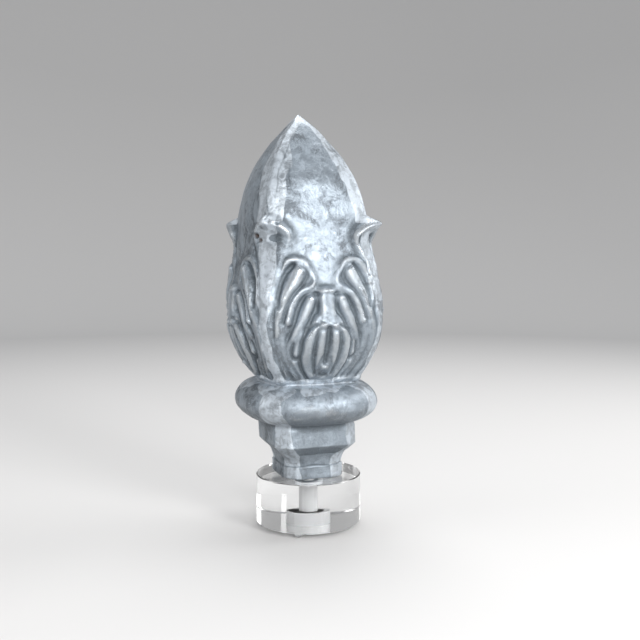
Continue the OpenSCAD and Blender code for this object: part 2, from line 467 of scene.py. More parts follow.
def steel_material():
    """Plain zinc-plated steel with fine turning marks."""
    n = Nodes("plated_steel")
    shader = n.shader.inputs
    marks = n.noise(1400, detail=3, stretch=(0.15, 0.15, 1))
    tone = n.mix(n.ramp(marks, 0.3, 0.7), (0.50, 0.51, 0.52), (0.70, 0.71, 0.72))
    n.link(tone, shader["Base Color"])
    shader["Metallic"].default_value = 1.0
    n.link(n.ramp(marks, 0.3, 0.7, 0.22, 0.36), shader["Roughness"])
    n.link(n.bump(marks, 0.2, 0.0002), shader["Normal"])
    return n.material


def rubber_material():
    """Clear soft rubber, slightly cloudy."""
    n = Nodes("clear_rubber")
    shader = n.shader.inputs
    shader["IOR"].default_value = 1.45
    shader["Transmission Weight"].default_value = 0.65
    cloudy = n.noise(500, detail=2)
    tone = n.mix(n.ramp(cloudy, 0.3, 0.8), (0.90, 0.91, 0.92), (0.97, 0.975, 0.98))
    n.link(tone, shader["Base Color"])
    n.link(n.ramp(cloudy, 0.3, 0.7, 0.14, 0.3), shader["Roughness"])
    return n.material


# --------------------------------------------------------------- zinc shape

# Widths across the flats and the cuts at the corners, in millimetres.
PLINTH_W, FLARE_FOOT_W, FLARE_TOP_W, TIER_W = 43.4, 42.0, 46.5, 61.6
PLINTH_CUT, TIER_CUT = 6, 10
# Radii out to the corners, and the belly's height as a share of the bud's.
NECK_R = 36.0
BELLY_R = 58.0
SHOULDER_R = 51.0
LEAF_TIP_R = 61.5
TORUS_FOOT_R = 33.0
TORUS_R = 53.6
BELLY_SHARE = 0.42

# Carving on one half of a face, mirrored on the other half and repeated on all
# four faces. Points are millimetres (from the face's middle, above the neck).
# Ridges: line, half width at its start and end, height at its start and end.
RIDGES = [
    # rim that arches over the upper side lobe
    ([(31.4, 56.6), (33.4, 54.6), (35.4, 57.4), (36, 64), (34.2, 73), (30.2, 80), (25, 84.8),
      (19.2, 86.4), (13.8, 84.6), (10.4, 80.4)], 2.4, 2.8, 1.6, 1.1),
    # full rib of the side lobe, running down into the sweep at the foot
    ([(16.8, 80), (20.4, 73), (25.2, 64.5), (30.6, 54.5), (33.8, 45), (34.8, 36), (33.6, 27),
      (29.2, 15.5), (22.8, 6)], 4.3, 2.5, 3.1, 1.6),
    # edge of the smooth tongue between the lobes, flowing out into the brow over the panel
    ([(10.4, 80.4), (8.6, 76.6), (7.8, 73), (9.6, 69.2), (14.8, 66.6), (19.6, 62.4), (23.6, 56.4),
      (25.9, 50), (26.6, 45.5)], 2.0, 2.7, 1.1, 2.3),
    # fold across the foot of the tongue
    ([(0, 67), (6, 67), (12, 67)], 2.3, 2.1, 1.2, 1.0),
    # strong slanting rib of the lower lobe
    ([(10.6, 60.4), (14, 53.4), (18, 45), (21.8, 37), (24.2, 30)], 4.3, 3.0, 3.6, 1.1),
    # small finger with a swollen end
    ([(16.8, 41), (19.4, 33), (20, 23.5)], 1.7, 2.6, 1.1, 2.6),
    # petals of the palmette
    ([(9.4, 41.4), (12.8, 31.5), (12.6, 20.5), (8.6, 7.5)], 4.2, 3.4, 2.2, 1.3),
    ([(4.5, 42), (5.3, 31), (5.1, 20), (3.4, 11)], 3.0, 2.4, 1.8, 1.3),
    # sweeps under the lobes
    ([(30, 42), (30.4, 33), (28.4, 24), (23.8, 14.5), (16.8, 5.5)], 2.2, 3.2, 0.7, 1.4),
    ([(24.2, 30), (23.8, 21), (19.8, 12.5), (12.6, 4.5)], 2.8, 3.0, 1.0, 1.5),
]
# Grooves: line, half width, depth.
GROOVES = [
    ([(31.8, 55), (31.6, 63), (29.8, 71), (25.6, 78.2), (20.8, 82.8)], 3.0, 2.5),
    ([(16.4, 82.6), (13.2, 79.8), (13, 75.4), (15.8, 70.6), (20.6, 65.4), (25, 58.8), (28, 51.4),
      (29.2, 45)], 1.5, 2.1),
    ([(4.8, 63.6), (10, 63.8), (14.8, 62), (18.6, 57.8), (21.2, 51.8), (22.6, 45)], 1.6, 2.0),
    ([(7.1, 63.4), (7, 51)], 1.3, 1.6),
    ([(7.8, 57), (9.6, 51), (13, 43.6)], 1.5, 1.1),
    ([(22.6, 45), (26.6, 33.5)], 1.6, 1.5),
    ([(14.6, 41), (16.4, 33), (16.6, 24), (20, 18.8), (23.4, 24), (22.8, 31)], 1.5, 1.7),
    ([(8, 43.6), (11, 42.2), (13.8, 39.4), (17.2, 32), (17.6, 22), (14.6, 12), (9, 4)], 1.6, 2.0),
    ([(7.2, 41), (8.9, 31), (8.6, 19.5), (5.8, 9)], 1.4, 1.9),
    ([(0, 41.5), (0, 18)], 2.3, 2.7),
    ([(2.8, 21), (4.1, 14), (2.6, 8.8), (0, 7.4)], 1.4, 1.5),
    ([(27.4, 36), (27, 26), (22.4, 16), (15.2, 6)], 2.0, 1.0),
    ([(32.4, 34), (31, 26), (26.6, 15.5), (20.2, 6)], 1.9, 0.8),
    ([(38.8, 50), (39.6, 64), (37.2, 76), (32.2, 85.6), (26.6, 91.4), (22.6, 97)], 2.0, 1.6),
]
# Raised or sunken areas: outline, height (negative is sunken), width of the edge.
AREAS = [
    # bar
    ([(-6, 66), (5.4, 65.8), (5.6, 55), (7.2, 51), (9.8, 47.8), (9.6, 44.6), (-8, 43.6)], 2.8, 1.9),
    # panel under the brow
    ([(5.2, 62.4), (10, 62.6), (15.4, 60.8), (19.4, 56.8), (22.4, 51), (25, 44.5), (28.5, 39),
      (27, 30), (22, 18), (18.5, 26), (16.6, 37), (11, 43), (5.2, 46.8)], -1.3, 2.2),
    # side lobe
    ([(30.5, 47), (26, 55), (21.5, 61), (16.5, 67.5), (12.6, 73.5), (10.4, 80), (12.5, 86.5),
      (18, 89), (25.5, 87.5), (31.8, 82), (36, 74.5), (37.4, 67), (36.2, 59.5), (33.5, 56)],
     1.1, 1.5),
    # palmette
    ([(-12, 40), (-6.5, 43.6), (6.5, 43.6), (12.4, 40), (16, 33.5), (17, 25), (15.4, 16.5),
      (11.5, 9), (5.5, 4.5), (-5.5, 4.5), (-11.5, 9), (-15.4, 16.5), (-17, 25), (-16, 33.5)],
     1.5, 1.6),
]
# Beads and dimples: middle, radius, height.
BEADS = [((0, 13.6), 3.2, 3.2), ((4.3, 40), 2.4, -1.2), ((27.6, 45.2), 2.8, 0.8)]

# Half width of the leaf that clasps each corner, by height above the neck.
LEAF_HEIGHTS = [0, 10, 24, 44, 64, 74, 84, 92, 98, 106, 112]
LEAF_HALVES = [3.0, 3.2, 3.8, 4.2, 5.3, 6.5, 8.6, 11.0, 13.0, 14.0, 14.0]
LEAF_SPREAD = 13.5
LEAF_DROOP = 9.5

# Marks on the front face: a hooked scratch and two drops of solder, in millimetres
# (from the face's middle, above the table).
SCRATCH = [(-16.5, 257), (-18.6, 248), (-18.2, 240), (-15, 236.5), (-12, 238)]
DROPS = [(12.8, 251), (17.4, 251)]
# Holes and nicks in the damaged leaf: place from the corner and above the neck,
# radius, depth. The ones further to the left than RUSTY have rusted.
NICKS = [(-8.5, 102.5, 3.0, 3.2), (-5.4, 99.5, 2.2, 2.2), (-11, 105, 2.4, 1.8),
         (3, 111.5, 2.2, 2.4), (7.5, 110.5, 2.0, 2.0), (-1.5, 117, 1.6, 0.9),
         (-2.5, 107.5, 1.6, 1.6)]
RUSTY = -5


def plan_radius(turn, corner_r, flat_share):
    """Radius of a square with bowed sides, at a turn from a face's middle."""
    half_side = corner_r / math.sqrt(2)
    bow = corner_r * flat_share - half_side
    bow_r = (half_side ** 2 + bow ** 2) / (2 * bow)
    centre = corner_r * flat_share - bow_r
    return centre * np.cos(turn) + np.sqrt(bow_r ** 2 - (centre * np.sin(turn)) ** 2)


def rounded_square(turn, corner_r, power=2.6):
    """Radius of a square with well rounded corners."""
    ring = (np.abs(np.cos(turn)) ** power + np.abs(np.sin(turn)) ** power) ** (-1 / power)
    return corner_r * ring / 2 ** (0.5 - 1 / power)


def cut_square(turn, width, cut, crisp=46):
    """Radius of a square with its corners cut off and its edges slightly rounded."""
    flat = width / 2
    across = (width - cut) / math.sqrt(2)
    total = 0
    for k in range(4):
        total = total + np.maximum(np.cos(turn - k * math.pi / 2) / flat, 0) ** crisp
        total = total + np.maximum(np.cos(turn - (k + 0.5) * math.pi / 2) / across, 0) ** crisp
    return total ** (-1 / crisp)


def cap_radius(z):
    """Radius of the pointed cap to its corners."""
    return SHOULDER_R * (1 - np.clip(1 - (TIP_Z - z) / (CAP_H * 1.09), 0, 1) ** 2.2)


def bud_radius(z):
    """Radius of the plain bud to its corners."""
    t = (z - NECK_Z) / BUD_H
    low = NECK_R + (BELLY_R - NECK_R) * np.sin(np.pi / 2 * np.clip(t / BELLY_SHARE, 0, 1)) ** 0.8
    high = BELLY_R + (SHOULDER_R - BELLY_R) * ease((t - BELLY_SHARE) / 0.66)
    capped = ease((t - 0.93) / 0.2)
    return np.where(t < BELLY_SHARE, low, high * (1 - capped) + cap_radius(z) * capped)


def face_carving(s, h):
    """Height of the ornament at s mm from a face's middle and h mm above the neck."""
    x = np.abs(s)
    total = np.zeros(x.shape)
    for outline, height, edge in AREAS:
        depth = inside_depth(x, h, smooth_curve(outline, closed=True, steps=3))
        total += height * ease(0.5 + depth / (2 * edge))
    crest = np.zeros(x.shape)
    for line, wide0, wide1, high0, high1 in RIDGES:
        d, t = along(x, h, smooth_curve(line))
        dome = np.clip(1 - (d / (1.15 * (wide0 + (wide1 - wide0) * t))) ** 2, 0, 1) ** 0.9
        crest = np.maximum(crest, (high0 + (high1 - high0) * t) * dome)
    cut = np.zeros(x.shape)
    for line, wide, deep in GROOVES:
        d, _ = along(x, h, smooth_curve(line))
        cut = np.maximum(cut, deep * bump(d, wide))
    for (bx, bh), radius, high in BEADS:
        total += high * bump(np.hypot(x - bx, h - bh), radius)
    return (total + crest - cut) * ease((h + 1) / 6)


def leaf_half_width(h):
    """Half width of a leaf at a height above the neck."""
    return np.interp(h, LEAF_HEIGHTS, LEAF_HALVES)


def corner_leaf(w, h, relief, crushed):
    """Height of the clasping leaf w mm beside a corner and h mm above the neck.

    crushed goes from 0 on a sound leaf to 1 on the one whose lip was beaten flat.
    """
    aside = np.abs(w)
    half = leaf_half_width(h)
    across = np.minimum(aside / LEAF_SPREAD, 1)
    below = BUD_H - LEAF_DROOP * across ** 2.2 - h
    inside = np.minimum(half - aside, below)
    side = 1 - ease((1.4 + 0.7 * crushed - (half - aside)) / (2.8 + 1.6 * crushed))
    blade = 1.6 * relief * (1 - 0.3 * crushed)
    rim = 0.8 * bump(np.abs(inside - 1.3), 1.9) * ease((h - 30) / 40) * (1 - 0.8 * crushed)
    spoon = -2.6 * ease((inside - 1.8) / 4.0) * ease((h - 66) / 26) * (1 - crushed)
    curl = (LEAF_TIP_R - SHOULDER_R - blade) * (1 - 0.7 * across ** 1.6) * (1 - 0.4 * crushed)
    under = blade + rim + spoon + curl * np.exp(-(np.maximum(below, 0) / 4.4) ** 1.6)
    top = (blade + curl) * (1 - ease(-below / 6.0))
    return side * np.where(below >= 0, under, top)


def zinc_rows():
    """Heights of the mesh's rows, close together where the shape is fine."""
    rows = []
    for edge, offsets in ((DISC_TOP, (0, 0.35)), (PLINTH_TOP, (-0.9, -0.35, 0.05, 0.5)),
                          (TIER_BASE, (-0.5, -0.1, 0.3)), (TIER_SLOPE, (-0.6, 0, 0.6))):
        rows += [edge + offset for offset in offsets]
    for low, high, count in (
            (DISC_TOP + 1, PLINTH_TOP - 0.9, 6), (PLINTH_TOP + 1.2, TIER_BASE - 0.5, 7),
            (TIER_BASE + 1, TIER_SLOPE - 0.6, 6), (TIER_SLOPE + 1.5, TIER_TOP - 1.5, 6),
            (NECK_Z + 0.5, LEAF_Z - 12, 136), (LEAF_Z - 12, LEAF_Z + 7, 28),
            (LEAF_Z + 7, TIP_Z - 6, 34)):
        rows += list(np.linspace(low, high, count, endpoint=False))
    rows += list(TORUS_MID + TORUS_H / 2 * np.sin(np.radians(np.linspace(-80, 84, 28))))
    rows += list(TIP_Z - 6 * (1 - np.sin(np.linspace(0, 1.45, 8))))
    return np.array(sorted(rows))


def stage_radius(z, turn):
    """Plain radius of the zinc at one height, before the carving."""
    if z < PLINTH_TOP:
        inset = 0.5 * (z < DISC_TOP + 0.1)
        lip = 0.35 * ease((z - PLINTH_TOP + 1.2) / 0.8)
        return cut_square(turn, PLINTH_W - inset + lip, PLINTH_CUT)
    if z < TIER_BASE:
        t = (z - PLINTH_TOP) / FLARE_H
        width = FLARE_FOOT_W + (FLARE_TOP_W - FLARE_FOOT_W) * t ** 1.6
        return cut_square(turn, width, PLINTH_CUT)
    if z < TIER_SLOPE:
        t = (z - TIER_BASE) / SLOPE_H
        width = FLARE_TOP_W + (TIER_W - FLARE_TOP_W) * t ** 0.9
        return cut_square(turn, width, PLINTH_CUT + (TIER_CUT - PLINTH_CUT) * t)
    if z < TIER_TOP - 1.2:
        return cut_square(turn, TIER_W, TIER_CUT, crisp=30)
    if z < BUD_FOOT:
        up = (z - TORUS_MID) / (TORUS_H / 2)
        swell = math.sqrt(max(0, 1 - up * up))
        foot = TORUS_FOOT_R if up < 0 else NECK_R - 1.5
        return rounded_square(turn, foot + (TORUS_R - foot) * swell ** (1.25 if up < 0 else 1.0))
    flatness = 0.83 + 0.05 * float(bump(np.array(abs((z - NECK_Z) / BUD_H - 0.35)), 0.6))
    return plan_radius(turn, float(bud_radius(np.array(z))), flatness)


def blur(field, rounds):
    """Smooths a field over the rows and round the closed columns."""
    for _ in range(rounds):
        field = (np.roll(field, 1, 1) + 2 * field + np.roll(field, -1, 1)) / 4
        padded = np.vstack([field[:1], field, field[-1:]])
        field = (padded[:-2] + 2 * field + padded[2:]) / 4
    return field


def round_corners(rows, plain, turn):
    """Rounds the bud's corners where the leaves clasp them, and leaves the cap's crisp."""
    rounds, corner_width = 26, 12.0
    soft = plain
    for _ in range(rounds):
        soft = (np.roll(soft, 1, 1) + 2 * soft + np.roll(soft, -1, 1)) / 4
    soft = soft + bump(np.abs(plain * np.sin(HALF_FACE - np.abs(turn))), corner_width)
    share = (ease((LEAF_Z + 2 - rows) / 22) * (rows > BUD_FOOT))[:, None]
    return plain * (1 - share) + soft * share


def beat_corner_flat(rows, plain, bearing):
    """Presses the damaged corner in, behind its leaf and at the plinth."""
    flat_half, out_of_reach = 9, 99
    here = np.abs(bearing) < HALF_FACE
    reach = plain * np.cos(bearing)
    beside = np.abs(np.abs(plain * np.sin(bearing)) - flat_half) + out_of_reach * ~here
    level = np.take_along_axis(reach, np.argmin(beside, 1)[:, None], 1)
    h = rows - NECK_Z
    behind_leaf = ease((h - 68) / 18) * ease((112 - h) / 10)
    share = 0.65 * behind_leaf + 0.5 * ease((TIER_BASE - rows) / 5)
    proud = np.clip(reach - level, 0, None) * here
    return plain - share[:, None] * proud / np.cos(np.clip(bearing, -1, 1))


class Skin:
    """The zinc's plain surface as a grid of rows and columns, and places on it in millimetres."""

    def __init__(self, columns):
        rows = zinc_rows()
        compass = full_circle(columns)
        turn = (compass + HALF_FACE) % (2 * HALF_FACE) - HALF_FACE
        plain = round_corners(rows, np.array([stage_radius(z, turn) for z in rows]), turn)
        self.z = np.repeat(rows[:, None], columns, 1)
        self.around = np.repeat(compass[None], len(rows), 0)
        self.bearing = turn_from(DAMAGED_CORNER, self.around)
        self.plain = plain = beat_corner_flat(rows, plain, self.bearing)
        x, y = plain * np.cos(self.around), plain * np.sin(self.around)
        self.place = np.stack([x, y, self.z], -1)
        self.along_face = plain * np.sin(turn)
        self.carving_x = self.along_face + 0.35 * self.waves(3, 60, 25)
        self.beside_corner = plain * np.sin(HALF_FACE - np.abs(turn)) * np.where(turn < 0, -1, 1)
        self.beside_damage = plain * np.sin(self.bearing)
        self.h = self.z - NECK_Z + 0.35 * self.waves(4, 60, 25)
        self.on_bud = self.z > BUD_FOOT
        self.on_cap = self.z > LEAF_Z
        self.crushed = np.where(np.abs(self.bearing) < HALF_FACE, 1.0, 0.0)

    def waves(self, *kind):
        """Smooth unevenness over the surface."""
        return waves(self.place, *kind)


def raise_ornament(skin, relief):
    """Height of the carving and the leaves, and the hollow of the crushed leaf, which is sunk in
    and also painted with shade.
    """
    h, crushed = skin.h, skin.crushed
    carved = (h > 0) & (h < 102) & skin.on_bud
    height = np.zeros(h.shape)
    height[carved] = relief * face_carving(skin.carving_x[carved], h[carved])
    height = blur(height, 1)
    near = skin.on_bud & (h < BUD_H + 8)
    beside = np.where(crushed > 0, skin.beside_damage - 1.8, skin.beside_corner)
    leaf = np.zeros(h.shape)
    leaf[near] = corner_leaf(beside[near], h[near], relief, crushed[near])
    leafy = ease(leaf / (1.5 - 0.9 * crushed))
    # Painted shade: the pocket under the crushed leaf's lip, sunk in here and darkened through the
    # cavity field.
    shaded_hollow = crushed * near * bump(np.hypot((beside - 3) / 1.6, h - 101), 5.4)
    return height * (1 - leafy) + (leaf - 1.5 * shaded_hollow), shaded_hollow


def lay_solder(skin, shaded_hollow):
    """Share of solder along the corners and round the neck, and the neck's bead."""
    z = skin.z
    on_zinc = np.where(skin.on_bud, np.minimum(leaf_half_width(skin.h), 6.5), 8.0)
    band = np.where(skin.on_cap, 3.5 + 6.5 * ease((TIP_Z - z) / 50), on_zinc)
    band = np.where(z < TIER_TOP, 6.6, band)
    edge = (band - np.abs(skin.beside_corner)) / 2.4 + 0.3 * skin.waves(5, 30, 6)
    thinner = 0.75 + 0.25 * ease((z - NECK_Z - 30) / 60)
    solder = ease(0.5 + edge / 2) * (1 - 0.95 * shaded_hollow)
    solder *= np.where(skin.on_bud & ~skin.on_cap, thinner, 1.0)
    bead = bump(np.abs(z - NECK_Z - 2.0 - 0.4 * skin.waves(11, 50, 15)), 4.6)
    collar = ease(0.5 + (3.6 - np.abs(z - NECK_Z - 0.5) + 2.2 * skin.waves(14, 26, 9)) / 2)
    return np.maximum(solder, 0.9 * np.maximum(bead, collar)), bead


def draw_seams(skin):
    """Dark lines: down the cap's corners, a crack beside one, and round the plinth's lap."""
    z, hurt = skin.z, skin.crushed > 0
    seam = bump(np.abs(skin.beside_corner + skin.waves(6, 40, 12)), 1.1)
    seam *= skin.on_cap & (z < TIP_Z - 4)
    seam *= np.where(hurt, 0.9, 0.5) * ease(0.6 + 0.5 * skin.waves(7, 60, 20))
    crack = bump(np.abs(skin.beside_damage - 4.5 + 0.7 * skin.waves(12, 40, 12)), 0.9) * hurt
    seam = np.maximum(seam, 0.7 * crack * (z > TIP_Z - 62) * (z < TIP_Z - 8))
    lap = bump(np.abs(z - PLINTH_TOP - 0.2 - 0.5 * skin.waves(13, 50, 15)), 0.9)
    return np.maximum(seam, 0.85 * lap)


def mark_front(skin, relief, solder, seam):
    """Adds the front face's hooked scratch and two drops of solder."""
    front = (np.abs(turn_from(FRONT, skin.around)) < HALF_FACE) & skin.on_cap
    off_line, _ = along(skin.along_face[front], skin.z[front], smooth_curve(SCRATCH))
    scratch = np.zeros(seam.shape)
    scratch[front] = bump(off_line, 0.9)
    seam = np.maximum(seam, 0.6 * scratch)
    for offset, level in DROPS:
        drop = bump(np.hypot(skin.along_face - offset, skin.z - level), 1.5) * front
        solder = np.maximum(solder, drop)
        relief = relief + 0.5 * drop
    return relief, solder, seam


def nick_leaf(skin, relief, seam):
    """Adds old damage to one leaf: rusty holes, and cracks and nicks in the lip."""
    here = np.abs(skin.bearing) < math.radians(30)
    rust = np.zeros(seam.shape)
    for offset, level, radius, deep in NICKS:
        spot = bump(np.hypot(skin.beside_damage - offset, skin.z - NECK_Z - level), radius) * here
        relief = relief - deep * spot
        rust = np.maximum(rust, spot * (offset < RUSTY))
        seam = np.maximum(seam, 0.7 * spot * (offset > RUSTY))
    return relief, seam, rust


def zinc_surface(settings):
    """Points of the finial's outer surface in millimetres, and the fields that colour it."""
    skin = Skin(4 * settings.columns_per_face)
    z = skin.z
    relief, shaded_hollow = raise_ornament(skin, settings.relief)
    solder, bead = lay_solder(skin, shaded_hollow)
    relief = relief + 0.3 * solder + 1.9 * bead
    relief, solder, seam = mark_front(skin, relief, solder, draw_seams(skin))
    relief, seam, rust = nick_leaf(skin, relief, seam)

    dents = 0.22 * skin.waves(8, 45, 16) + 0.06 * skin.waves(9, 9, 4, 30)
    radius = skin.plain + relief + dents * ease((z - DISC_TOP) / 4)
    # cavity: low in hollows and creases, high on crests; the material paints shade and highlight
    # from it.
    cavity = np.clip((relief - blur(relief, 14)) / 1.1, -1, 1)
    # Creases and edges of the lower stages, added for more painted shade and highlight.
    slopes = np.clip((radius - blur(radius, 5)) / 0.5, -1, 1) * (z < NECK_Z + 2) * 0.5
    # The neck's bead is kept lighter, and the crushed leaf's hollow gets painted shade.
    cavity = np.clip(cavity * (1 - 0.6 * bead) + slopes - 0.9 * shaded_hollow, -1, 1)
    # low: painted shade on faces that turn down (the torus's underside, the flares under the tier
    # and the bud below its belly), and the zinc below the neck darker, most below the tier's top;
    # the neck's bead is kept lighter.
    overhang = np.gradient(skin.plain, axis=0) / np.maximum(np.gradient(z, axis=0), 0.05)
    under_bud = 0.65 * ease((NECK_Z + 52 - z) / 34)
    under_tier = 0.15 + 0.25 * ease((TIER_TOP - z) / 3) + 1.4 * ease(overhang / 0.8)
    low = np.clip(np.where(z > NECK_Z, under_bud, under_tier), 0, 1) * (1 - 0.8 * bead)

    drift = settings.lean / MM * np.maximum(0, z - TIER_BASE) / (TIP_Z - TIER_BASE)
    x = radius * np.cos(skin.around) + drift * LEAN_WAY[0] + SEAT[0]
    y = radius * np.sin(skin.around) + drift * LEAN_WAY[1] + SEAT[1]
    fields = {"cavity": cavity, "solder": solder, "seam": seam, "rust": rust, "low": low}
    return np.stack([x, y, z], -1), fields


def follow_ridges(faces, level):
    """Turns each quad so that its split runs along the carving, not across it."""
    def flat(a, b):
        return abs(level[a] - level[b])
    return [q if flat(q[0], q[2]) <= flat(q[1], q[3]) else (*q[1:], q[0]) for q in faces]


def screw_socket(foot, hole_radius, depth):
    """Rings that carry the underside in to the screw's blind hole, and up it."""
    centre = np.array([*SEAT, DISC_TOP])
    flat = foot - centre
    mouth = centre + flat / np.linalg.norm(flat[:, :2], axis=1)[:, None] * hole_radius
    return np.array([mouth + np.array([0, 0, depth]), mouth])


def make_finial(settings):
    """One closed mesh: the carved surface, its point, and the underside with its hole."""
    points, fields = zinc_surface(settings)
    socket = screw_socket(points[0], 3.3, SCREW_HIGH[2] - DISC_TOP + 1)
    columns = points.shape[1]
    vertices = np.concatenate([socket, points]).reshape(-1, 3)
    tip = [*(SEAT + settings.lean / MM * LEAN_WAY), TIP_Z]
    roof = vertices[:columns].mean(0)
    top, deep = len(vertices), len(vertices) + 1
    vertices = np.vstack([vertices, tip, roof])
    level = np.hypot(vertices[:, 0], vertices[:, 1])
    faces = follow_ridges(grid_faces(top // columns, columns), level)
    faces += fan_faces(top - columns, columns, top)
    faces += fan_faces(0, columns, deep, down=True)
    obj = new_object("zinc_body", vertices, faces, [zinc_material(settings)])
    quiet = np.zeros(len(socket) * columns)
    for name, field in fields.items():
        layer = obj.data.attributes.new(name, "FLOAT", "POINT")
        values = np.concatenate([quiet, field.ravel(), [0.0, 0.0]])
        layer.data.foreach_set("value", values.astype(np.float32))
    settle_in(obj, "zinc", "zinc_finial")


# ------------------------------------------------------- base, screw and feet


class GeometryTree:
    """Short calls for building one Geometry Nodes tree with named sizes."""

    def __init__(self, name, sizes):
        self.tree = bpy.data.node_groups.new(name, "GeometryNodeTree")
        face = self.tree.interface
        face.new_socket("Geometry", in_out="INPUT", socket_type="NodeSocketGeometry")
        self.sizes = {}
        for label, size in sizes.items():
            socket = face.new_socket(label, in_out="INPUT", socket_type="NodeSocketFloat")
            socket.default_value = size
            self.sizes[socket.identifier] = size
        face.new_socket("Geometry", in_out="OUTPUT", socket_type="NodeSocketGeometry")
        self.given = self.tree.nodes.new("NodeGroupInput").outputs

    def add(self, kind, inputs):
        """A new node's first output. Each input takes a value, or a list of sockets to link."""
        node = self.tree.nodes.new(kind)
        for name, item in inputs.items():
            if isinstance(item, list):
                for source in item:
                    self.tree.links.new(source, node.inputs[name])
            else:
                node.inputs[name].default_value = item
        return node.outputs[0]

    def finish(self, geometry, material):
        """Ends the tree in Realize Instances and Set Material."""
        real = self.add("GeometryNodeRealizeInstances", {"Geometry": [geometry]})
        coat = self.add("GeometryNodeSetMaterial", {"Geometry": [real], "Material": material})
        self.tree.links.new(coat, self.tree.nodes.new("NodeGroupOutput").inputs["Geometry"])

    def bake(self, obj, name):
        """Runs the tree on an object and keeps its result as a plain mesh."""
        modifier = obj.modifiers.new("shape", "NODES")
        modifier.node_group = self.tree
        for identifier, size in self.sizes.items():
            modifier[identifier] = size
        shaped = obj.evaluated_get(bpy.context.evaluated_depsgraph_get())
        mesh = bpy.data.meshes.new_from_object(shaped)
        obj.modifiers.remove(modifier)
        bpy.data.objects.remove(obj)
        mesh.name = name
        return link_object(name, mesh)


def lathe(name, profile, materials, segments, centre=(0, 0)):
    """Turns a closed profile of (radius, height) points into a ring-shaped solid."""
    vertices = np.concatenate(rings(profile, full_circle(segments), centre))
    faces = grid_faces(len(profile), segments, loop=True)
    return new_object(name, vertices, faces, materials)


def make_disc(settings):
    """The clear disc, with a frosted clearance hole above a frosted counterbore."""
    segments = 160
    r = (DISC_HIGH[0] - DISC_LOW[0]) / 2
    low, high = DISC_LOW[2], DISC_HIGH[2]
    ceiling = WASHER_HIGH[2]
    bevel = settings.bevel / MM
    hole, bore = settings.hole_radius / MM, settings.counterbore_radius / MM
    profile = [(bore, low), (r - bevel, low), (r, low + bevel), (r, high - bevel),
               (r - bevel, high), (hole, high), (hole, ceiling), (bore, ceiling)]
    finishes = [0, 0, 0, 0, 0, 1, 1, 1]
    obj = lathe("clear_disc", profile, [acrylic_material(), frosted_material()], segments)
    obj.data.polygons.foreach_set("material_index", np.repeat(finishes, segments).tolist())
    smooth_by_angle(obj, 30)
    settle_in(obj, "acrylic", "acrylic_base")


def make_screw(settings, steel):
    """Core, chamfered end and hexagonal head, with a thread swept by Geometry Nodes."""
    core = 2.75
    low, high = SCREW_LOW[2], SCREW_HIGH[2]
    head_top = WASHER_LOW[2]
    flats = (SCREW_HIGH[0] - SCREW_LOW[0]) / 2 * math.cos(math.pi / 6)
    sides = 96
    turn = full_circle(sides)
    hexagon = flats / np.cos((turn + np.pi / 6) % (np.pi / 3) - np.pi / 6)
    crown = np.minimum(hexagon, flats * 1.03)
    profile = [(crown * 0.35, low + 0.35), (crown * 0.97, low), (hexagon, low + 0.5),
               (hexagon, head_top), (core, head_top), (core, high - 0.7), (core - 0.8, high)]
    vertices = np.concatenate(rings(profile, turn, SEAT))
    faces = grid_faces(len(profile), sides)
    faces += [tuple(reversed(range(sides))), tuple(range(len(vertices) - sides, len(vertices)))]
    body = new_object("screw_body", vertices, faces, [steel])

    foot, top = (head_top + 0.6) * MM, (high - 0.9) * MM
    tree = GeometryTree("screw_thread", {
        "Core radius": (core - 0.05) * MM, "Crest height": 0.5 * MM,
        "Turns": (top - foot) / settings.thread_pitch, "Rise": top - foot})
    given = tree.given
    helix = tree.add("GeometryNodeCurveSpiral", {
        "Resolution": 28, "Rotations": [given["Turns"]], "Start Radius": [given["Core radius"]],
        "End Radius": [given["Core radius"]], "Height": [given["Rise"]]})
    rib = tree.add("GeometryNodeCurvePrimitiveCircle", {
        "Resolution": 4, "Radius": [given["Crest height"]]})
    sweep = tree.add("GeometryNodeCurveToMesh", {
        "Curve": [helix], "Profile Curve": [rib], "Fill Caps": True})
    seated = tree.add("GeometryNodeTransform", {
        "Geometry": [sweep], "Translation": (*(SEAT * MM), foot)})
    both = tree.add("GeometryNodeJoinGeometry", {"Geometry": [given["Geometry"], seated]})
    tree.finish(both, steel)
    obj = tree.bake(body, "threaded_screw")
    smooth_by_angle(obj, 35)
    settle_in(obj, "steel", "mounting_screw")


def make_washer(steel):
    """The flat washer, its outer edges rounded off."""
    inner, edge = 3.3, 0.25
    outer = (WASHER_HIGH[0] - WASHER_LOW[0]) / 2
    low, high = WASHER_LOW[2], WASHER_HIGH[2]
    profile = [(inner, low), (outer - edge, low), (outer, low + edge), (outer, high - edge),
               (outer - edge, high), (inner, high)]
    obj = lathe("plain_washer", profile, [steel], 96, SEAT)
    smooth_by_angle(obj, 35)
    settle_in(obj, "steel", "screw_washer")


